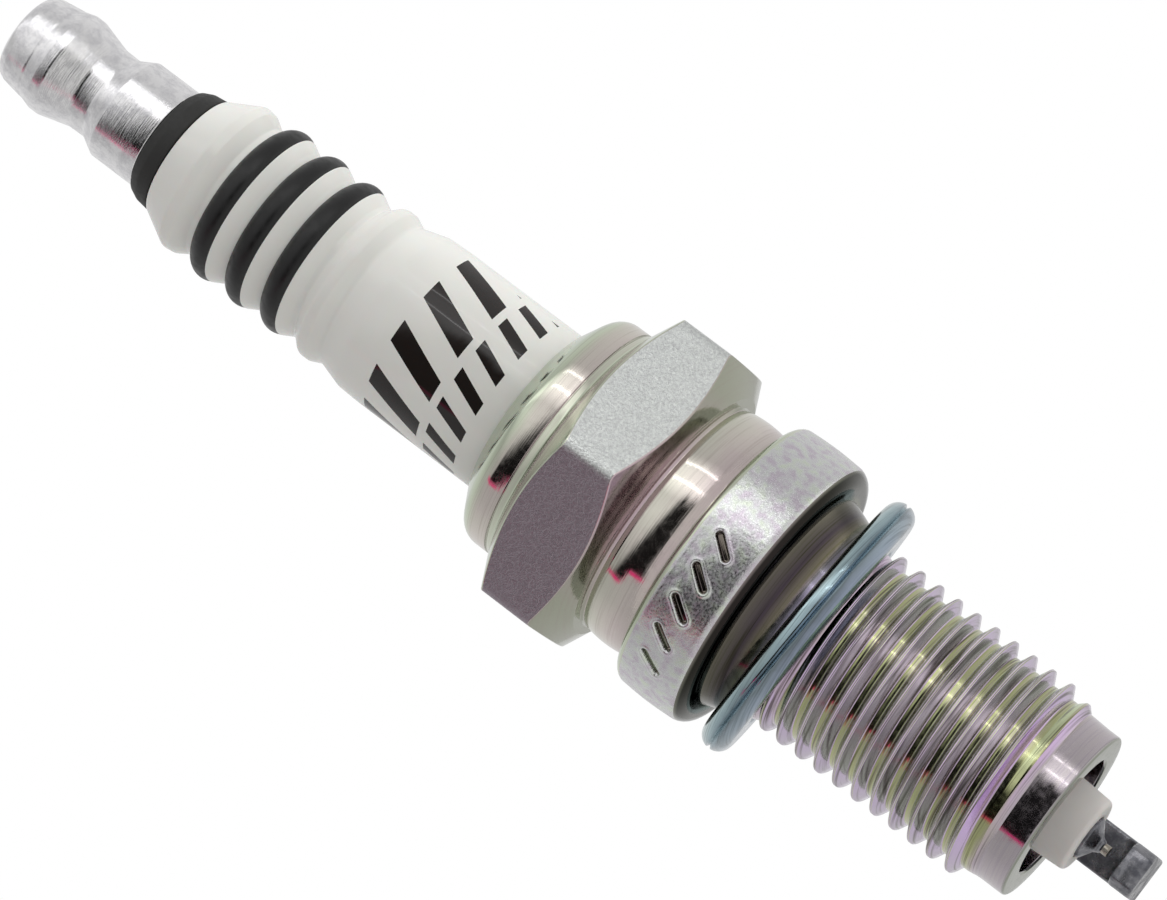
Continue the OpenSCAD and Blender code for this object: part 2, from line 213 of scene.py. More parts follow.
def brightZincPlate(name, film, values=plateValues):
    # Trivalent zinc plating on turned and formed steel: a bright metal whose clear film goes green where it
    # faces the terminal, pinkish where it faces the firing end and straw in between. The pink turns to
    # olive towards the sides and fine lathe lines darken it. By the seat the colour is painted shade: dark
    # rings by radius, with painted olive and pink reflection gleams, for the unlit gap under the flange.
    material, tree, shader, coords = newMaterial(name)
    spot, normal = coords.outputs["Object"], coords.outputs["Normal"]
    x, y, z = addNode(tree, "ShaderNodeSeparateXYZ", {0: spot}).outputs
    facing = addNode(tree, "ShaderNodeSeparateXYZ", {0: normal}).outputs["Z"]
    cloud = addNode(tree, "ShaderNodeTexNoise", {
        "Vector": spot, "Scale": perMm(film["cloud"]), "Detail": 3.0})
    drifted = calculate(tree, "MULTIPLY_ADD", cloud.outputs["Fac"], film["drift"], facing)
    place = addNode(tree, "ShaderNodeMapRange", {
        "Value": drifted, "From Min": film["drift"] / 2 - 1.0, "From Max": film["drift"] / 2 + 1.0})
    tint = addNode(tree, "ShaderNodeValToRGB", {"Fac": place.outputs[0]}, stops=[
        (0.05, film["below"]), (0.32, film["below2"]), (0.5, film["side"]), (0.72, film["above"]),
        (0.95, film["above2"])])
    aside = calculate(tree, "ABSOLUTE", x)
    outward = addNode(tree, "ShaderNodeMapRange", {
        "Value": aside, "From Min": values["oliveFrom"] * mm, "From Max": values["oliveTo"] * mm,
        "To Max": values["olive"]})
    down = addNode(tree, "ShaderNodeMapRange", {"Value": facing, "From Min": -0.1, "From Max": -0.5})
    olive = calculate(tree, "MULTIPLY", outward.outputs[0], down.outputs[0])
    coloured = addNode(tree, "ShaderNodeMixRGB", {
        "Fac": olive, "Color1": tint.outputs["Color"], "Color2": film["edge"]})
    stretch = addNode(tree, "ShaderNodeMapping", {"Vector": spot, "Scale": values["lathe"]})
    turned = addNode(tree, "ShaderNodeTexNoise", {
        "Vector": stretch.outputs[0], "Scale": perMm(values["latheSize"]), "Detail": 5.0})
    line = addNode(tree, "ShaderNodeMapRange", {
        "Value": turned.outputs["Fac"], "From Min": 0.5, "From Max": 0.68, "To Max": film["lines"]})
    lined = addNode(tree, "ShaderNodeMixRGB", {
        "Fac": line.outputs[0], "Color1": coloured.outputs[0], "Color2": film["lineColour"]})
    for part in ("pilot", "end"):
        low = addNode(tree, "ShaderNodeMapRange", {
            "Value": z, "From Min": values[part + "From"] * mm, "From Max": values[part + "To"] * mm,
            "To Max": film["pilot"]})
        lined = addNode(tree, "ShaderNodeMixRGB", {
            "Fac": low.outputs[0], "Color1": lined.outputs[0], "Color2": values[part + "Colour"]})
    # painted shade by the seat: between these heights the colour turns to dark rings by radius with painted
    # gleams
    under = addNode(tree, "ShaderNodeMapRange", {
        "Value": z, "From Min": values["seatShadeTop"][0] * mm, "From Max": values["seatShadeTop"][1] * mm})
    above = addNode(tree, "ShaderNodeMapRange", {
        "Value": z, "From Min": values["seatShadeEnd"][0] * mm, "From Max": values["seatShadeEnd"][1] * mm,
        "To Max": film["seatShade"]})
    shade = calculate(tree, "MULTIPLY", under.outputs[0], above.outputs[0])
    flat = addNode(tree, "ShaderNodeVectorMath", {0: spot, 1: (1.0, 1.0, 0.0)}, operation="MULTIPLY")
    radius = addNode(tree, "ShaderNodeVectorMath", {0: flat.outputs[0]}, operation="LENGTH")
    ring = addNode(tree, "ShaderNodeMapRange", {
        "Value": radius.outputs["Value"], "From Min": values["seatShadeInner"] * mm,
        "From Max": values["seatShadeOuter"] * mm})
    rings = addNode(tree, "ShaderNodeValToRGB", {"Fac": ring.outputs[0]}, stops=values["seatShadeRings"])
    seatShaded = addNode(tree, "ShaderNodeMixRGB", {
        "Fac": shade, "Color1": lined.outputs[0], "Color2": rings.outputs[0]})
    smear = addNode(tree, "ShaderNodeTexNoise", {"Vector": spot, "Scale": perMm(0.35), "Detail": 4.0})
    rough = addNode(tree, "ShaderNodeMapRange", {
        "Value": smear.outputs["Fac"], "From Min": 0.35, "From Max": 0.7, "To Min": film["roughLow"],
        "To Max": film["roughHigh"]})
    bump = addNode(tree, "ShaderNodeBump", {
        "Height": turned.outputs["Fac"], "Strength": film["grooves"], "Distance": 0.01 * mm})
    feed(tree, shader, {"Base Color": seatShaded.outputs[0], "Roughness": rough.outputs[0],
                        "Normal": bump.outputs[0], "Metallic": 1.0})
    return material


def frostedFlat():
    # Plated hexagon flats left rough from forging: a fine sparkling grain with short hair scratches, drawn
    # about 0.15 mm wide so that it shows. The flats on the -X side are painted darker and purple: partly a
    # purple film tint, partly painted shade for the dark that they reflect.
    material, tree, shader, coords = newMaterial("frostedZincFlat")
    spot = coords.outputs["Object"]
    grain = addNode(tree, "ShaderNodeTexNoise", {
        "Vector": spot, "Scale": perMm(0.16), "Detail": 6.0, "Roughness": 0.75})
    warp = addNode(tree, "ShaderNodeTexNoise", {"Vector": spot, "Scale": perMm(0.9), "Detail": 2.0})
    bent = addNode(tree, "ShaderNodeMixRGB", {
        "Fac": 0.0016, "Color1": spot, "Color2": warp.outputs["Color"]})
    hairs = addNode(tree, "ShaderNodeTexVoronoi", {
        "Vector": bent.outputs[0], "Scale": perMm(0.3)}, feature="DISTANCE_TO_EDGE")
    hair = addNode(tree, "ShaderNodeMapRange", {
        "Value": hairs.outputs["Distance"], "From Min": 0.0, "From Max": 0.06, "To Min": 1.0,
        "To Max": 0.0})
    height = calculate(tree, "MULTIPLY_ADD", hair.outputs[0], 0.35, grain.outputs["Fac"])
    bump = addNode(tree, "ShaderNodeBump", {"Height": height, "Strength": 0.55, "Distance": 0.05 * mm})
    tint = addNode(tree, "ShaderNodeValToRGB", {"Fac": grain.outputs["Fac"]}, stops=[
        (0.3, "#BDBDBE"), (0.52, "#DCDFDD"), (0.72, "#F4F7F3")])
    # the -X flats: purple film tint mixed with painted shade
    side = addNode(tree, "ShaderNodeSeparateXYZ", {0: coords.outputs["Normal"]}).outputs["X"]
    turned = addNode(tree, "ShaderNodeMapRange", {
        "Value": side, "From Min": -0.1, "From Max": -0.45, "To Max": 0.8})
    purpleAndShade = addNode(tree, "ShaderNodeMixRGB", {
        "Fac": turned.outputs[0], "Color1": tint.outputs["Color"], "Color2": "#8B7886"})
    feed(tree, shader, {"Base Color": purpleAndShade.outputs[0], "Normal": bump.outputs[0], "Metallic": 1.0,
                        "Roughness": 0.34})
    return material


def stampedFlange():
    # Knurl-rolled flange rim under zinc: satin, with shallow dents a few tenths of a millimetre across.
    material, tree, shader, coords = newMaterial("satinFlangeZinc")
    spot = coords.outputs["Object"]
    dents = addNode(tree, "ShaderNodeTexNoise", {"Vector": spot, "Scale": perMm(0.55), "Detail": 3.0})
    grit = addNode(tree, "ShaderNodeTexNoise", {"Vector": spot, "Scale": perMm(0.12), "Detail": 5.0})
    height = calculate(tree, "MULTIPLY_ADD", grit.outputs["Fac"], 0.22, dents.outputs["Fac"])
    bump = addNode(tree, "ShaderNodeBump", {"Height": height, "Strength": 0.5, "Distance": 0.06 * mm})
    rough = addNode(tree, "ShaderNodeMapRange", {
        "Value": grit.outputs["Fac"], "From Min": 0.35, "From Max": 0.7, "To Min": 0.2, "To Max": 0.38})
    tint = addNode(tree, "ShaderNodeValToRGB", {"Fac": dents.outputs["Fac"]}, stops=[
        (0.35, "#CFC6D0"), (0.52, "#DADBDB"), (0.7, "#D9E0D2")])
    feed(tree, shader, {"Base Color": tint.outputs["Color"], "Roughness": rough.outputs[0],
                        "Normal": bump.outputs[0], "Metallic": 1.0})
    return material


glazeValues = {
    "glaze": "#EEEEE9", "shade": "#E6E5E0", "ink": "#241F1D", "bisque": "#D9D5D2",
    "noseTop": -17.0,                     # below this height the ceramic is unglazed
    "barrel": 5.02,                       # radius that the marks are laid out on
    "bandLow": 18.3, "bandHigh": 20.4, "bandPitch": 1.9, "bandFill": 0.42,
    "boldLow": 20.9, "boldHigh": 24.5, "boldPitch": 2.9, "boldFill": 0.46,
    "slant": 0.42,                        # sideways travel of the marks for each millimetre of height
    "printFrom": -1.45, "printTo": 1.2,   # radians either side of the front
}


def glazedAlumina(values):
    # White alumina under a clear glaze: a warm white with a wet gloss, a little orange peel and a few
    # pinhole glints. Two rows of plain blocks are printed on the barrel. The nose is unglazed and matt.
    material, tree, shader, coords = newMaterial("glazedAlumina")
    spot = coords.outputs["Object"]
    x, y, z = addNode(tree, "ShaderNodeSeparateXYZ", {0: spot}).outputs
    angle = calculate(tree, "ARCTAN2", x, calculate(tree, "MULTIPLY", y, -1.0))
    along = calculate(tree, "MULTIPLY", angle, values["barrel"])
    height = calculate(tree, "DIVIDE", z, mm)

    def between(value, low, high):
        above, below = calculate(tree, "GREATER_THAN", value, low), calculate(tree, "LESS_THAN", value, high)
        return calculate(tree, "MULTIPLY", above, below)

    def blocks(kind):
        leaned = calculate(tree, "MULTIPLY_ADD", height, -values["slant"], along)
        phase = calculate(tree, "FRACT", calculate(tree, "DIVIDE", leaned, values[kind + "Pitch"]))
        filled = calculate(tree, "LESS_THAN", phase, values[kind + "Fill"])
        inside = between(height, values[kind + "Low"], values[kind + "High"])
        return calculate(tree, "MULTIPLY", filled, inside)

    marks = calculate(tree, "MAXIMUM", blocks("bold"), blocks("band"))
    printed = calculate(tree, "MULTIPLY", marks, between(angle, values["printFrom"], values["printTo"]))
    cloud = addNode(tree, "ShaderNodeTexNoise", {"Vector": spot, "Scale": perMm(6), "Detail": 2.0})
    bare = calculate(tree, "LESS_THAN", height, values["noseTop"])
    tint = addNode(tree, "ShaderNodeMixRGB", {
        "Fac": cloud.outputs["Fac"], "Color1": values["glaze"], "Color2": values["shade"]})
    for share, colour in ((printed, values["ink"]), (bare, values["bisque"])):
        tint = addNode(tree, "ShaderNodeMixRGB", {"Fac": share, "Color1": tint.outputs[0], "Color2": colour})
    pits = addNode(tree, "ShaderNodeTexVoronoi", {"Vector": spot, "Scale": perMm(1.3)})
    pit = calculate(tree, "LESS_THAN", pits.outputs["Distance"], 0.075)
    peel = addNode(tree, "ShaderNodeTexNoise", {"Vector": spot, "Scale": perMm(1.6), "Detail": 2.0})
    relief = calculate(tree, "MULTIPLY_ADD", pit, 0.9, peel.outputs["Fac"])
    bump = addNode(tree, "ShaderNodeBump", {"Height": relief, "Strength": 0.3, "Distance": 0.03 * mm})
    rough = addNode(tree, "ShaderNodeMapRange", {"Value": bare, "To Min": 0.07, "To Max": 0.62})
    feed(tree, shader, {"Base Color": tint.outputs[0], "Roughness": rough.outputs[0],
                        "Normal": bump.outputs[0], "Subsurface Weight": 0.12,
                        "Subsurface Scale": 0.4 * mm})
    return material


def moulded(name, colours, low, high, grainSize, depth):
    # rubber, fired glass frit or pressed powder: its gloss, from low to high, is broken by a fine skin
    material, tree, shader, coords = newMaterial(name)
    spot = coords.outputs["Object"]
    skin = addNode(tree, "ShaderNodeTexNoise", {"Vector": spot, "Scale": perMm(grainSize), "Detail": 5.0})
    rough = addNode(tree, "ShaderNodeMapRange", {
        "Value": skin.outputs["Fac"], "From Min": 0.3, "From Max": 0.7, "To Min": low, "To Max": high})
    bump = addNode(tree, "ShaderNodeBump", {
        "Height": skin.outputs["Fac"], "Strength": depth, "Distance": 0.03 * mm})
    tint = addNode(tree, "ShaderNodeMixRGB", {
        "Fac": skin.outputs["Fac"], "Color1": colours[0], "Color2": colours[1]})
    feed(tree, shader, {"Base Color": tint.outputs[0], "Roughness": rough.outputs[0],
                        "Normal": bump.outputs[0]})
    return material


def turnedMetal(name, colours, low, high, ringSize, ringDepth, pitting):
    # Bar stock turned on a lathe: fine rings round the axis, a few pits, and dull patches from handling.
    material, tree, shader, coords = newMaterial(name)
    spot = coords.outputs["Object"]
    stretch = addNode(tree, "ShaderNodeMapping", {"Vector": spot, "Scale": (0.25, 0.25, 8.0)})
    rings = addNode(tree, "ShaderNodeTexNoise", {
        "Vector": stretch.outputs[0], "Scale": perMm(ringSize), "Detail": 6.0, "Roughness": 0.65})
    patches = addNode(tree, "ShaderNodeTexNoise", {
        "Vector": spot, "Scale": perMm(0.8), "Detail": 6.0, "Roughness": 0.7})
    worn = addNode(tree, "ShaderNodeMapRange", {
        "Value": patches.outputs["Fac"], "From Min": 0.42, "From Max": 0.62})
    height = calculate(tree, "MULTIPLY_ADD", worn.outputs[0], pitting, rings.outputs["Fac"])
    bump = addNode(tree, "ShaderNodeBump", {
        "Height": height, "Strength": ringDepth, "Distance": 0.02 * mm})
    rough = addNode(tree, "ShaderNodeMapRange", {"Value": worn.outputs[0], "To Min": low, "To Max": high})
    tint = addNode(tree, "ShaderNodeMixRGB", {
        "Fac": worn.outputs[0], "Color1": colours[0], "Color2": colours[1]})
    feed(tree, shader, {"Base Color": tint.outputs[0], "Roughness": rough.outputs[0],
                        "Normal": bump.outputs[0], "Metallic": 1.0})
    return material


# the seat value is the strength of the painted shade under the flange and round the neck
shellFilm = {
    "cloud": 3.5, "drift": 0.5, "roughLow": 0.07, "roughHigh": 0.16, "grooves": 0.25, "lines": 0.25,
    "seatShade": 0.96, "pilot": 0.0, "lineColour": "#9A8D86", "edge": "#97A38A", "below": "#B59CA8",
    "below2": "#D0BCC2", "side": "#DCD4CC", "above": "#D2DAC4", "above2": "#C6D0BE",
}
threadFilm = {
    "cloud": 2.5, "drift": 0.3, "roughLow": 0.09, "roughHigh": 0.2, "grooves": 0.12, "lines": 0.8,
    "seatShade": 0.92, "pilot": 0.85, "lineColour": "#423828", "edge": "#B3B6AE", "below": "#D8B6F0",
    "below2": "#DCC0E6", "side": "#B7BA8A", "above": "#CDD8B2", "above2": "#C3DAB0",
}
gasketFilm = {
    "cloud": 2.2, "drift": 0.9, "roughLow": 0.08, "roughHigh": 0.2, "grooves": 0.2, "lines": 0.5,
    "seatShade": 0.0, "pilot": 0.0, "lineColour": "#465054", "edge": "#A2B0BA", "below": "#98A2B8",
    "below2": "#6C767C", "side": "#93A6AF", "above": "#A9BFC4", "above2": "#BED2D2",
}
# darker copies of the shell film's colours: painted shade inside the pressed slots
slotShadeFilm = dict(shellFilm, side="#7A716A", below="#4A4341", below2="#5C5255", above="#8A867A",
                above2="#7C8274")
look = {
    "shell": brightZincPlate("zincPlatedSteel", shellFilm),
    "thread": brightZincPlate("zincPlatedThread", threadFilm),
    "gasket": brightZincPlate("blueZincPlate", gasketFilm),
    "flat": frostedFlat(),
    "flange": stampedFlange(),
    "slot": brightZincPlate("slotPaintedShadeZinc", slotShadeFilm),
    "glaze": glazedAlumina(glazeValues),
    "blackRing": moulded("glossBlackRubber", ("#020203", "#060607"), 0.3, 0.5, 0.5, 0.25),
    "darkRing": moulded("mattGreyRubber", ("#1C1C1B", "#2A2A29"), 0.5, 0.68, 0.3, 0.35),
    "terminal": turnedMetal("turnedAluminium", ("#FAF9FA", "#E2E1E4"), 0.1, 0.22, 0.5, 0.4, 0.25),
    "stud": turnedMetal("rolledStudSteel", ("#B9B9B6", "#8F8F8E"), 0.2, 0.4, 0.5, 0.4, 0.4),
    "nickel": turnedMetal("nickelAlloy", ("#8B8B90", "#5E5F66"), 0.22, 0.42, 0.4, 0.5, 0.5),
    "iridium": turnedMetal("iridiumWire", ("#B9B4AA", "#8A8276"), 0.2, 0.35, 0.15, 0.4, 0.4),
    "copper": turnedMetal("drawnCopper", ("#C98763", "#A8684A"), 0.22, 0.4, 0.4, 0.4, 0.4),
    "packing": turnedMetal("bareSteelWire", ("#9C9C9E", "#757578"), 0.3, 0.5, 0.4, 0.4, 0.4),
    "sealGlass": moulded("conductiveGlass", ("#20262A", "#2E363B"), 0.15, 0.3, 0.4, 0.3),
    "resistor": moulded("carbonGlassResistor", ("#241F1C", "#332C27"), 0.45, 0.7, 0.3, 0.5),
    "talc": moulded("pressedTalc", ("#CFC9B8", "#E2DDCE"), 0.8, 0.95, 0.25, 0.6),
}
print("materials made:", len(look))


shellValues = {
    "columns": 288, "barrelHole": 5.085, "lipTop": 16.95, "lipFlat": 5.45, "lipSlope": 0.6, "collar": 7.28,
    "hexFlats": 17.9, "hexLow": 7.8, "hexHigh": 13.6, "hexFace": 8.0, "cornerRound": 0.62, "edgeRound": 0.12,
    "flare": 14.25, "waistBulge": 7.34, "waistDrop": 0.12, "waistGroove": 7.14, "flangeTop": 4.66,
    "flange": 8.35, "hollow": 6.3, "hollowTop": 12.0,
    "flatRadius": 8.8, "flatHeight": 2.5,   # faces past this radius and taller than this are the flats
}


def hexagonRadius(angles, flats, cornerRound):
    # The distance to a hexagon's side is half the flats over the cosine of the angle from that side's
    # middle. Near a corner a smaller circle that touches both sides takes over.
    fromSide = (angles + np.pi / 6) % (np.pi / 3) - np.pi / 6
    side = flats / 2 / np.cos(fromSide)
    fromCorner = np.pi / 6 - np.abs(fromSide)
    circleAt = (flats / 2 - cornerRound) / np.cos(np.pi / 6)
    inside = cornerRound ** 2 - (circleAt * np.sin(fromCorner)) ** 2
    circle = circleAt * np.cos(fromCorner) + np.sqrt(np.maximum(inside, 0))
    touches = np.arctan2(cornerRound * 0.5, circleAt + cornerRound * np.cos(np.pi / 6))
    return np.where((fromCorner < touches) & (inside > 0), circle, side)


def shellUpper(values):
    # The lip, the collar, the chamfered hexagon and the shrunk waist in one ring-shaped grid. A chamfer
    # drops by (hexagon radius - face radius) * tan(30), and the waist's middle is a shallow parabola.
    angles = np.arange(values["columns"]) * 2 * np.pi / values["columns"]
    hexR = hexagonRadius(angles, values["hexFlats"], values["cornerRound"])
    drop = (hexR - values["hexFace"]) * math.tan(math.radians(30))
    hole, collar, edge = values["barrelHole"], values["collar"], values["edgeRound"]
    flare, face, lipTop = values["flare"], values["hexFace"], values["lipTop"]
    lipDrop = lipTop - values["lipSlope"] * (collar - values["lipFlat"])
    groove, bulge, flangeTop = values["waistGroove"], values["waistBulge"], values["flangeTop"]
    low, high = values["hexLow"], values["hexHigh"]
    corners = [
        (hole, values["hollowTop"], 0), (hole, lipTop, 0.1), (values["lipFlat"], lipTop - 0.02, 0.35),
        (collar, lipDrop, 1.15), (collar + 0.01, flare + 0.08, 0.05), (collar - 0.05, flare, 0.03),
        (collar, flare - 0.08, 0.05), (collar + 0.12, high + 0.12, 0.35), (face - 0.12, high, 0.1),
        (hexR, high - drop, edge), (hexR, low + drop, edge), (face - 0.2, low, 0.12),
        (groove + 0.12, low - 0.04, 0.1), (groove, low - 0.22, 0.1),
    ]
    middle, half = (low + flangeTop) / 2, (low - flangeTop) / 2 - 0.38
    corners += [(bulge - values["waistDrop"] * s ** 2, middle - s * half, 0) for s in np.linspace(-1, 1, 15)]
    corners += [(groove + 0.02, flangeTop + 0.08, 0.1), (groove - 0.05, flangeTop - 0.5, 0),
                (values["hollow"], flangeTop - 0.5, 0), (values["hollow"], values["hollowTop"], 0)]
    points = aroundAxis(arcLine(corners, 6), angles)
    faces = gridFaces(len(points), values["columns"], True)
    quads = points.reshape(-1, 3)[faces]
    far = np.linalg.norm(quads.mean(axis=1)[:, :2], axis=1)
    onFlat = (far > values["flatRadius"]) & (np.ptp(quads[..., 2], axis=1) > values["flatHeight"])
    return makePiece("shellHexagon", points, faces.tolist(), [look["shell"], look["flat"]],
                     "plug", ["metal_shell"], onFlat.astype(int), sharpAngle=50)


flangeValues = {
    "bottomRound": 1.0, "topRound": 0.58, "bulge": 0.06, "slots": 5, "firstSlot": -4.0, "slotStep": 13.9,
    "slotLength": 1.7, "slotWidth": 0.42, "slotDepth": 0.34, "slotHeight": 2.62, "slotLean": 39.0,
    "rim": 0.035, "rimAt": 0.36, "rimWidth": 0.09,   # the metal that the press pushed up round a slot
    "fineFrom": -14.0, "fineTo": 62.0, "fineColumns": 230, "coarseColumns": 150, "fineRows": 74,
    "inner": 6.4, "satinLow": 0.7, "satinDrop": 0.42,
}


def shellFlange(values, shell):
    # A ring whose side is pressed in by the slots. A slot is a line segment with a radius: the press goes
    # from full depth to nothing across the segment's edge, and the metal stands a little proud around it.
    fineFrom, fineTo = values["fineFrom"], values["fineTo"]
    turns = np.radians(np.concatenate([
        np.linspace(fineFrom, fineTo, values["fineColumns"], endpoint=False),
        np.linspace(fineTo, fineFrom + 360, values["coarseColumns"], endpoint=False)]))
    angles = -np.pi / 2 - turns
    flange, top, inner = shell["flange"], shell["flangeTop"], values["inner"]
    sideHigh, sideLow = top - values["topRound"] - 0.05, values["bottomRound"] + 0.05
    upper = arcLine([(inner, top, 0), (flange, top, values["topRound"]), (flange, sideHigh, 0)], 6)[:-1]
    lower = arcLine([(flange, sideLow, 0), (flange, 0, values["bottomRound"]), (inner, 0, 0)], 8)[1:]
    heights = np.linspace(sideHigh, sideLow, values["fineRows"])
    bulge = values["bulge"] * np.sin(np.pi * (sideHigh - heights) / (sideHigh - sideLow))
    side = np.stack([flange + bulge, heights], -1)
    profile = np.concatenate([upper, side, lower])
    profile = np.repeat(profile[:, None, :], len(angles), axis=1)
    lean = math.radians(values["slotLean"])
    half = (values["slotLength"] - values["slotWidth"]) / 2
    press = np.zeros((len(heights), len(turns)))
    for k in range(values["slots"]):
        sideways = (turns - math.radians(values["firstSlot"] + k * values["slotStep"]))[None, :] * flange
        upwards = heights[:, None] - values["slotHeight"]
        along = np.clip(-sideways * math.sin(lean) + upwards * math.cos(lean), -half, half)
        far = np.hypot(sideways + along * math.sin(lean), upwards - along * math.cos(lean))
        edge = np.clip((values["slotWidth"] / 2 + 0.05 - far) / 0.12, 0, 1)
        proud = values["rim"] * np.exp(-((far - values["rimAt"]) / values["rimWidth"]) ** 2)
        press += values["slotDepth"] * edge ** 2 * (3 - 2 * edge) - proud
    sideRows = slice(len(upper), len(upper) + len(heights))
    profile[sideRows, :, 0] -= press
    pressed = np.zeros(profile.shape[:2])
    pressed[sideRows] = press
    points = aroundAxis(profile, angles)
    faces = gridFaces(len(profile), len(angles), True)
    middle = points.reshape(-1, 3)[faces].mean(axis=1)
    onSide = (middle[:, 2] > values["satinLow"]) & (middle[:, 2] < top - values["satinDrop"])
    onSide &= np.linalg.norm(middle[:, :2], axis=1) > flange - 0.5
    # faces deep in a slot take the slot material, whose darker colours are painted shade
    inSlot = pressed.reshape(-1)[faces].mean(axis=1) > 0.4 * values["slotDepth"]
    return makePiece("shellFlange", points, faces.tolist(), [look["shell"], look["flange"], look["slot"]],
                     "plug", ["metal_shell"], np.where(inSlot, 2, onSide), sharpAngle=60)


threadValues = {
    "pitch": 1.25, "crest": 5.94, "root": 5.25, "crestHalf": 0.075, "flankHalf": 0.44, "columns": 240,
    "start": -2.4125, "turns": 13, "runIn": 0.5, "runInLength": 0.3, "runOut": 11.6, "runOutLength": 0.7,
    "neck": 5.47, "pilot": 5.15, "pilotTop": -17.0, "end": -19.0, "bore": 3.66, "boreTop": -8.0,
    "seamDepth": 0.035, "seamWidth": 0.03, "hollow": 6.9, "hollowTop": 0.4,
}


def helixGrid(values, angles):
    # Rows follow the helix: height = start - pitch * turn - offset in the tooth + pitch * part of the turn
    # gone round. The radius is the root plus the tooth's height there, and the tooth grows and fades with
    # the distance run along the thread. Where the columns meet, a row joins the one a turn above.
    crestHalf, flankHalf, pitch, depth = values["crestHalf"], values["flankHalf"], values["pitch"], 0.69
    tooth = arcLine([(-pitch / 2, 0.02, 0), (-pitch / 2 + 0.02, 0.02, 0), (-flankHalf, 0.0, 0.11),
                     (-crestHalf, depth, 0.05), (0, depth, 0), (crestHalf, depth, 0.05),
                     (flankHalf, 0.0, 0.11), (pitch / 2 - 0.02, 0.02, 0)], 4)[:-1]
    perTurn, columns, turns = len(tooth), values["columns"], values["turns"]
    offset, raised = np.tile(tooth[:, 0], turns)[:, None], np.tile(tooth[:, 1] / depth, turns)[:, None]
    part = np.arange(columns)[None, :] / columns
    turn = np.repeat(np.arange(turns), perTurn)[:, None]
    heights = values["start"] - pitch * turn - offset + pitch * part
    run = turn - part
    grow = np.clip((run - values["runIn"]) / values["runInLength"], 0, 1)
    fade = np.clip((values["runOut"] - run) / values["runOutLength"], 0, 1)
    strength = grow ** 2 * (3 - 2 * grow) * fade ** 2 * (3 - 2 * fade)
    toPilot = np.clip((values["pilotTop"] + 0.2 - heights) / 0.5, 0, 1)
    base = values["root"] + (values["pilot"] - values["root"]) * toPilot
    lift = (values["crest"] - values["root"]) * raised * strength
    seam = np.exp(-(offset / values["seamWidth"]) ** 2) * values["seamDepth"] * strength
    radius = base + lift - seam
    points = np.stack([radius * np.cos(angles), radius * np.sin(angles), heights], -1)
    j, i = np.meshgrid(np.arange(perTurn * turns - 1), np.arange(columns), indexing="ij")
    nextColumn, lifted = (i + 1) % columns, np.where(i == columns - 1, perTurn, 0)
    quads = np.stack([j * columns + i, (j + 1) * columns + i, (j + 1 - lifted) * columns + nextColumn,
                      (j - lifted) * columns + nextColumn], -1)
    return points, quads[j >= lifted], perTurn


def shellThread(values):
    # The helix grid sits between plain rings. At each end the last plain ring meets the helix's first or
    # last row, and one many-sided face closes the step where the columns meet.
    bore, neck, root, pilot, end = (values[k] for k in ("bore", "neck", "root", "pilot", "end"))
    hollow, hollowTop, columns = values["hollow"], values["hollowTop"], values["columns"]
    topRows = arcLine([(hollow, hollowTop, 0), (hollow, 0.002, 0.02), (neck - 0.04, 0.002, 0.72),
                       (neck - 0.04, -0.8, 0.02), (neck, -0.84, 0.03), (neck, -1.3, 0), (neck, -1.55, 0.1),
                       (root, -1.75, 0.1), (root, -1.85, 0)], 6)[1:]
    endRows = arcLine([(pilot, -18.2, 0), (pilot, end, 0.16), (bore + 0.12, end, 0.06),
                       (bore, end + 0.12, 0.06), (bore, values["boreTop"], 0), (hollow, hollowTop, 0)], 5)
    angles = np.pi / 2 + 2 * np.pi * (np.arange(columns) / columns)
    helix, quads, perTurn = helixGrid(values, angles)
    points = np.concatenate([aroundAxis(topRows, angles), helix, aroundAxis(endRows, angles)])
    start, endStart = len(topRows) * columns, (len(topRows) + len(helix)) * columns
    lastTop, lastRow, lastEnd = start - columns, endStart - columns, (len(points) - 1) * columns
    i, k = np.arange(columns), np.roll(np.arange(columns), -1)
    joins = [np.stack([above + i, below + i, below + k, above + k], -1)
             for above, below in ((lastTop, start), (lastRow, endStart), (lastEnd, 0))]
    faces = [gridFaces(len(topRows), columns, False), quads + start,
             gridFaces(len(endRows), columns, False) + endStart, joins[0][:-1], joins[1][:-1], joins[2]]
    faces = np.concatenate(faces).tolist()
    stepDown = [start + (n + 1) * columns - 1 for n in range(perTurn + 1)]
    faces.append([start - 1] + stepDown + [start, lastTop])
    stepUp = [lastRow - n * columns for n in range(perTurn + 1)]
    faces.append([endStart - 1, endStart + columns - 1, endStart] + stepUp)
    return makePiece("shellThread", points, faces, [look["thread"]], "plug",
                     ["metal_shell"], sharpAngle=60)


shellUpper(shellValues)
shellFlange(flangeValues, shellValues)
shellThread(threadValues)
print("shell made")


gasketValues = {
    "outer": 8.36, "inner": 5.8, "height": 1.78, "play": 0.03, "seam": 0.2, "seamWidth": 0.07, "cant": 8.9,
    "highSide": 107.6, "pivot": 7.0,
}


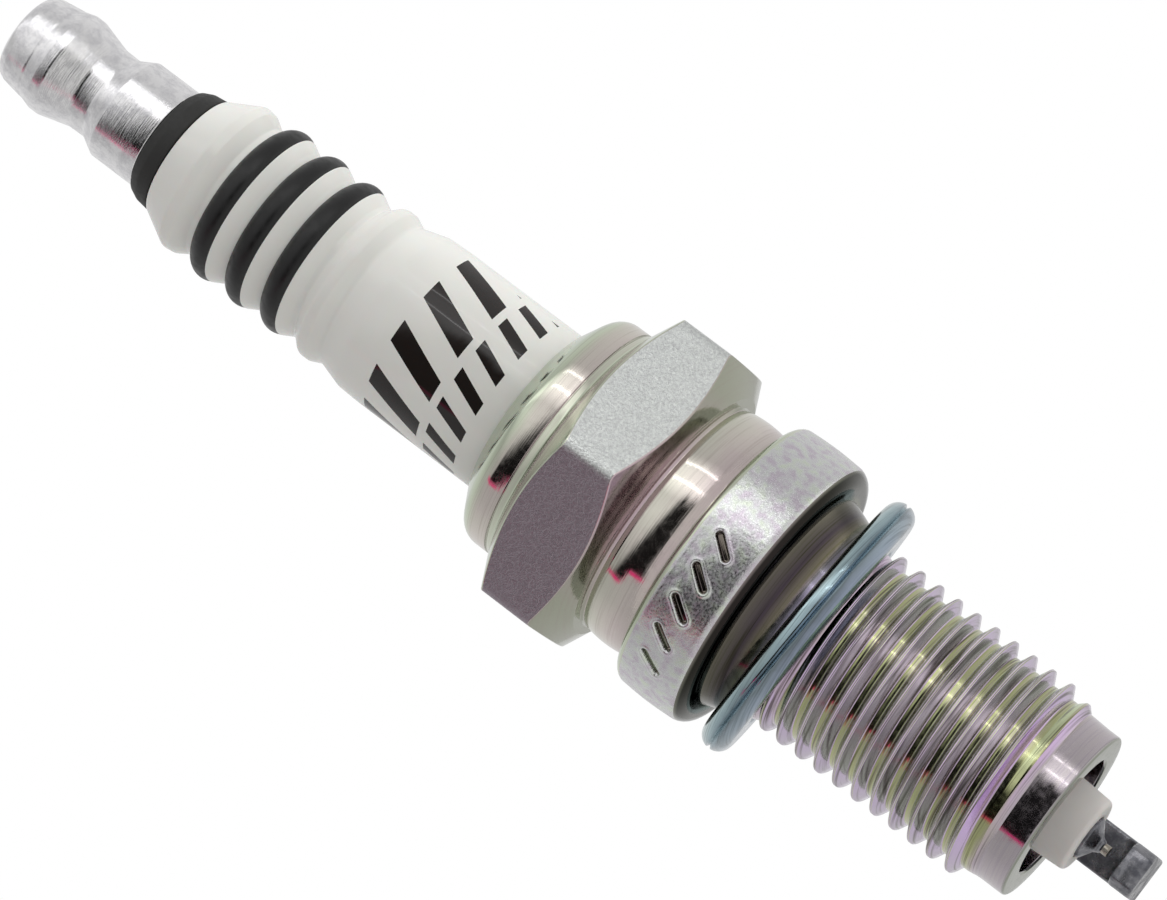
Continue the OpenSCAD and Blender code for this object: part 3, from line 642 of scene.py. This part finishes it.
def gasketRing(values):
    # A sheet ring folded so that its outside is one round, an arc less a narrow dip at the seam. It is
    # turned about a line across its raised side: moved to the line, rotated, and moved back.
    outer, inner, half, seam = values["outer"], values["inner"], values["height"] / 2, values["seam"]
    swing = np.linspace(np.pi / 2, -np.pi / 2, 49)
    dip = seam * np.exp(-(half * np.sin(swing) / values["seamWidth"]) ** 2)
    rim = [(outer - half + half * math.cos(a) - d, -half + half * math.sin(a), 0)
           for a, d in zip(swing, dip)]
    corners = rim + [(inner, -2 * half, 0.42), (inner, -half - 0.02, 0.4), (inner + seam, -half, 0.03),
                     (inner, -half + 0.02, 0.4), (inner, 0, 0.42), (outer - half - 0.01, 0, 0)]
    turn, cant = math.radians(values["highSide"]), math.radians(-values["cant"])
    spin = Matrix.Rotation(turn, 3, "Z") @ Matrix.Rotation(cant, 3, "Y") @ Matrix.Rotation(-turn, 3, "Z")
    pivot = values["pivot"] * np.array([math.cos(turn), math.sin(turn), 0])

    def place(points):
        moved = points + [0, 0, -values["play"]] - pivot
        return moved @ np.array(spin).T + pivot

    return turnedPiece("crushGasket", corners, [look["gasket"]], "gasket", ["gasket"],
                       columns=200, loop=True, steps=7, place=place)


gasketRing(gasketValues)
print("gasket made")


insulatorValues = {
    "barrel": 5.06, "rib": 4.85, "ribPitch": 2.48, "ringTop": 36.5, "ringFace": 0.99, "ringBack": 3.6,
    "noseEnd": -20.7, "nose": 2.2, "hole": 1.3, "stub": 2.95, "stubTop": 42.55,
}


def insulatorBody(values):
    # from the terminal end down: stub, shoulder, three ribs between the rings, barrel, body and nose
    rib, top, pitch, nose, end = (values[k] for k in ("rib", "ringTop", "ribPitch", "nose", "noseEnd"))
    barrel, hole, stub, stubTop = (values[k] for k in ("barrel", "hole", "stub", "stubTop"))
    low = top - 3 * pitch
    corners = [(0, stubTop, 0), (stub, stubTop, 0.1), (stub, 41.0, 0.05), (rib - 1.12, 41.05, 0.12),
               (rib - 0.12, top + pitch + 0.2, 0.45), (rib - 0.2, top + pitch - 0.4, 0.3),
               (rib - 0.68, top + 1.3, 0.3), (rib - 0.66, top + 0.84, 0.08)]
    for z in (top, top - pitch, top - 2 * pitch):
        corners += [(rib - 0.4, z, 0), (rib - 0.12, z - 0.52, 0.12), (rib - 0.5, z - 1.22, 0.3),
                    (rib - 0.66, z - pitch + 0.86, 0.08)]
    corners[-1] = (rib - 0.55, low + 0.95, 0.25)
    corners += [(rib + 0.04, low + 0.3, 0.4), (rib + 0.04, low - 0.25, 0.4), (rib - 0.3, low - 1.0, 0.5),
                (rib - 0.12, low - 1.6, 0.5), (barrel - 0.05, 26.5, 1.5), (barrel, 25.0, 0.6),
                (barrel, 12.0, 0), (3.4, 8.0, 0), (3.2, -8.0, 0.3), (nose + 0.45, -13.0, 0.5),
                (nose, end, 0.28), (hole, end, 0.05), (hole, end + 1.5, 0), (0, end + 1.5, 0)]
    return turnedPiece("insulatorBody", corners, [look["glaze"]], "plug", ["insulator"],
                       columns=220, steps=8)


def roundRing(name, node, z, values):
    # a ring with a round face over a flat back, its face an arc about a circle inside the insulator
    middle, face, back = values["rib"] - values["ringFace"], values["ringFace"], values["ringBack"]
    swing = np.linspace(1, -1, 25) * math.acos((back - middle) / face)
    arc = [(middle + face * math.cos(a), z + face * math.sin(a), 0) for a in swing]
    return turnedPiece(name, [(back, z, 0)] + arc + [(back, z - 0.01, 0)], [look["blackRing"]],
                       "plug", [node], columns=200, loop=True)


def sealRing():
    corners = [(2.96, 41.5, 0), (2.96, 42.56, 0.08), (3.3, 42.56, 0.22), (3.58, 41.95, 0.5),
               (3.68, 41.12, 0.1), (2.96, 41.12, 0.05), (2.96, 41.4, 0)]
    return turnedPiece("terminalSealRing", corners, [look["darkRing"]], "plug",
                       ["terminal_seal_ring"], columns=180, loop=True)


insulatorBody(insulatorValues)
for order, nodeName in enumerate(["insulator_ring_upper", "insulator_ring_middle", "insulator_ring_lower"]):
    height = insulatorValues["ringTop"] - order * insulatorValues["ribPitch"]
    roundRing("ribRing" + str(order + 1), nodeName, height, insulatorValues)
sealRing()
print("insulator made")


nutValues = {"foot": 42.6, "top": 52.75, "body": 3.13, "waist": 2.56, "bore": 2.05, "boreTop": 51.1}


def terminalNut(values):
    body, waist, foot, top, bore, boreTop = (values[k] for k in ("body", "waist", "foot", "top", "bore",
                                                                 "boreTop"))
    corners = [(0, boreTop, 0), (bore, boreTop, 0.05), (bore, foot + 0.2, 0.02), (bore + 0.2, foot, 0.02),
               (body, foot, 0.12), (body, foot + 3.0, 0.22), (waist + 0.02, foot + 4.0, 0.5),
               (waist + 0.05, foot + 5.1, 1.2), (body, foot + 7.0, 0.6), (body, foot + 7.55, 0.12),
               (body - 0.2, foot + 8.25, 0.06), (body - 0.2, foot + 8.4, 0.05),
               (body - 0.38, foot + 9.6, 0.15), (body - 0.62, top, 0.42), (0, top, 0)]
    return turnedPiece("terminalNut", corners, [look["terminal"]], "terminal_nut",
                       ["terminal_nut"], columns=180)


terminalNut(nutValues)
print("terminal made")


strapValues = {
    "width": 2.7, "thick": 1.38, "legInside": 3.7, "bend": 1.2, "armTop": -22.95, "tip": -1.15,
    "root": -18.7, "edge": 0.18, "tipWidth": 1.9, "taperFrom": -0.35, "capShare": 0.93,
}


def groundStrap(values):
    # A rounded rectangle carried along the leg, a quarter circle and the arm. Each station has a point on
    # the inner face and a direction across the thickness; the width narrows in a straight taper at the tip.
    w, t, e, bend = values["width"] / 2, values["thick"], values["edge"], values["bend"]
    inside, armTop, tip, taperFrom = (values[k] for k in ("legInside", "armTop", "tip", "taperFrom"))
    bendY, bendZ = inside - bend, armTop + bend
    swing = np.radians(np.linspace(0, -90, 17))
    leg = [(inside, z, 1.0, 0.0) for z in np.linspace(values["root"], bendZ + 0.05, 4)]
    curve = [(bendY + bend * np.cos(a), bendZ + bend * np.sin(a), np.cos(a), np.sin(a)) for a in swing]
    arm = [(y, armTop, 0.0, -1.0) for y in np.linspace(bendY - 0.1, tip + 0.06, 14)]
    path = np.array(leg + curve + arm)
    outline = arcLine([(0, -w + e, 0), (0, w, e), (t, w, e), (t, -w, e), (0, -w, e),
                       (0, -w + e + 0.001, 0)], 4)[:-1]
    across, sideways = outline[:, 0], outline[:, 1]
    narrowed = 1 - (taperFrom - path[:, 0]) / (taperFrom - tip) * (1 - values["tipWidth"] / values["width"])
    taper = np.where((path[:, 3] < -0.99) & (path[:, 0] < taperFrom), narrowed, 1.0)
    x = sideways[None, :] * taper[:, None]
    y = path[:, 0, None] + across[None, :] * path[:, 2, None]
    z = path[:, 1, None] + across[None, :] * path[:, 3, None]
    points = np.stack([x, y, z], -1)
    middle = points[-1].mean(axis=0)
    cap = middle + (points[-1] - middle) * values["capShare"]
    cap[:, 1] = tip
    points = np.concatenate([points, cap[None]])
    rows, columns = points.shape[:2]
    faces = gridFaces(rows, columns, False).tolist()
    faces.append(list(range(columns)))
    faces.append(list(range(rows * columns - 1, (rows - 1) * columns - 1, -1)))
    return makePiece("groundStrap", points, faces, [look["nickel"]], "plug",
                     ["ground_electrode"], sharpAngle=45)


def centreTip():
    corners = [(0, -18.0, 0), (1.25, -18.0, 0), (1.25, -20.85, 0.08), (0.5, -21.35, 0.1),
               (0.42, -21.47, 0.04), (0, -21.47, 0)]
    turnedPiece("centreElectrode", corners, [look["nickel"]], "plug",
                ["centre_electrode"], columns=72)
    wire = [(0, -21.2, 0), (0.3, -21.2, 0), (0.3, -22.05, 0.05), (0, -22.05, 0)]
    turnedPiece("iridiumWire", wire, [look["iridium"]], "plug", ["iridium_tip"], columns=48)


groundStrap(strapValues)
centreTip()
print("electrodes made")


cadLooks = {
    "ground_electrode_weld": "nickel", "terminal_stud": "stud", "upper_glass_seal": "sealGlass",
    "resistor": "resistor", "lower_glass_seal": "sealGlass", "copper_core": "copper", "tip_weld": "nickel",
    "upper_packing_ring": "packing", "talc_packing": "talc", "lower_packing_ring": "packing",
    "seat_packing": "packing",
}
for nodeName, lookName in cadLooks.items():
    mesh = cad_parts[nodeName].data
    mesh.materials.clear()
    mesh.materials.append(look[lookName])


stageValues = {
    "floorZ": -0.115, "floorSize": 3.0,   # metres
    "camera": (0.224, -331.7, -62.52), "lens": 195.5, "tilt": 12.92, "roll": -52.93,
    "gapFrom": -24.0, "gapTo": 54.0,      # the unlit gap in front, in degrees round the axis
    "gapTop": 13.0, "gapRise": 0.16,      # its upper edge, which rises towards the left
    "streaks": 44.0, "streakSize": 0.45,  # how far and how often the gap's right edge wavers with height
    "strips": [(-52.0, 0.9, 2.6), (-34.0, 0.8, 3.2)],   # narrow lights: direction, half width, strength
    "sides": [(0.0, 0.75), (0.16, 0.6), (0.25, 0.55), (0.31, 1.15), (0.38, 1.3), (0.43, 0.8), (0.5, 0.85),
              (0.64, 0.6), (0.72, 0.45), (0.85, 0.5), (1.0, 0.75)],   # brightness round the tent
    "lampAt": (0.5, 0.1, 0.25), "lampTarget": (0, 0, 0.015), "lampSize": 0.3, "lampWatts": 1.3,
}


def studioWorld(values):
    # A white tent with an unlit gap in front, below eye height. Brightness is a sum of smooth steps in the
    # angle round the axis and in the elevation. The gap's right edge wavers with elevation, narrow lights
    # stand right of it and a pink edge left of it. Rays straight from the camera see plain white.
    world = bpy.data.worlds.new("studioTent")
    bpy.context.scene.world = world
    world.use_nodes = True
    tree = world.node_tree
    tree.nodes.clear()
    coords = addNode(tree, "ShaderNodeTexCoord")
    x, y, z = addNode(tree, "ShaderNodeSeparateXYZ", {0: coords.outputs["Generated"]}).outputs

    def step(value, low, high):
        return addNode(tree, "ShaderNodeMapRange", {"Value": value, "From Min": low, "From Max": high},
                       interpolation_type="SMOOTHSTEP").outputs[0]

    def product(a, b):
        return calculate(tree, "MULTIPLY", a, b)

    degree = 180 / math.pi
    theta = product(calculate(tree, "ARCTAN2", product(x, -1.0), product(y, -1.0)), degree)
    height = product(calculate(tree, "ARCSINE", z), degree)
    level = calculate(tree, "ABSOLUTE", height)
    slope = calculate(tree, "MULTIPLY_ADD", height, 4.0, values["gapTo"] - 42.0)
    edge = calculate(tree, "MINIMUM", calculate(tree, "MAXIMUM", slope, values["gapTo"]),
                     values["gapTo"] + 15)
    past = calculate(tree, "SUBTRACT", theta, edge)
    upper = calculate(tree, "MULTIPLY_ADD", theta, values["gapRise"], values["gapTop"])
    over = calculate(tree, "SUBTRACT", height, upper)
    wave = addNode(tree, "ShaderNodeTexNoise", {
        "W": height, "Scale": values["streakSize"], "Detail": 3.0}, noise_dimensions="1D").outputs["Fac"]
    lowest = values["gapFrom"] - values["streaks"] / 2
    start = calculate(tree, "MULTIPLY_ADD", wave, values["streaks"], lowest)
    begun = calculate(tree, "SUBTRACT", theta, start)
    gap = product(product(step(begun, -5.0, 5.0), step(past, 1.0, -1.0)), step(over, 3.0, -3.0))
    sides = addNode(tree, "ShaderNodeValToRGB", {"Fac": step(theta, -180, 180)}, stops=values["sides"])
    light = product(sides.outputs[0], calculate(tree, "SUBTRACT", 1.0, product(gap, 0.985)))
    for direction, half, strength in values["strips"]:
        away = calculate(tree, "ABSOLUTE", calculate(tree, "SUBTRACT", theta, direction))
        strip = product(step(away, half, half * 0.4), step(level, 40.0, 30.0))
        light = calculate(tree, "MULTIPLY_ADD", strip, strength, light)
    pink = product(product(step(past, -0.5, 0.5), step(past, 4.5, 3.0)), step(level, 34.0, 26.0))
    tinted = addNode(tree, "ShaderNodeMixRGB", {"Fac": pink, "Color1": light, "Color2": "#E0407F"})
    seen = addNode(tree, "ShaderNodeLightPath")
    shown = addNode(tree, "ShaderNodeMixRGB", {
        "Fac": seen.outputs["Is Camera Ray"], "Color1": tinted.outputs[0], "Color2": grey(1.0)})
    back = addNode(tree, "ShaderNodeBackground", {"Color": shown.outputs[0], "Strength": 1.0})
    addNode(tree, "ShaderNodeOutputWorld", {"Surface": back.outputs[0]})


def paleFloor(values):
    half, z = values["floorSize"] / 2, values["floorZ"]
    mesh = bpy.data.meshes.new("floor")
    corners = [(-half, -half, z), (half, -half, z), (half, half, z), (-half, half, z)]
    mesh.from_pydata(corners, [], [(0, 1, 2, 3)])
    material, tree, shader, coords = newMaterial("paleFloorCard")
    feed(tree, shader, {"Base Color": "#F0F0EE", "Roughness": 0.8})
    mesh.materials.append(material)
    floor = bpy.data.objects.new("floor", mesh)
    bpy.context.scene.collection.objects.link(floor)


def softTop(values):
    # a round lamp that lights the ceramic but leaves no spot in the metal
    lamp = bpy.data.lights.new("softTop", "AREA")
    lamp.shape, lamp.size, lamp.energy = "DISK", values["lampSize"], values["lampWatts"]
    light = bpy.data.objects.new("softTop", lamp)
    spot, target = Vector(values["lampAt"]), Vector(values["lampTarget"])
    aim = (spot - target).to_track_quat("Z", "Y").to_matrix().to_4x4()
    light.matrix_world = Matrix.Translation(spot) @ aim
    light.visible_glossy = False
    bpy.context.scene.collection.objects.link(light)


def plugCamera(values):
    # the camera looks along +Y, tilted up and then rolled, so that the plug lies across the frame
    lens = bpy.data.cameras.new("plugCamera")
    lens.lens, lens.sensor_width = values["lens"], 36.0
    camera = bpy.data.objects.new("plugCamera", lens)
    tilt, roll = math.radians(90 + values["tilt"]), math.radians(values["roll"])
    camera.matrix_world = (Matrix.Translation(Vector(values["camera"]) * mm)
                           @ Matrix.Rotation(tilt, 4, "X") @ Matrix.Rotation(roll, 4, "Z"))
    bpy.context.scene.collection.objects.link(camera)
    bpy.context.scene.camera = camera


studioWorld(stageValues)
paleFloor(stageValues)
softTop(stageValues)
plugCamera(stageValues)
bpy.context.scene.view_settings.view_transform = "Standard"
print("stage made")
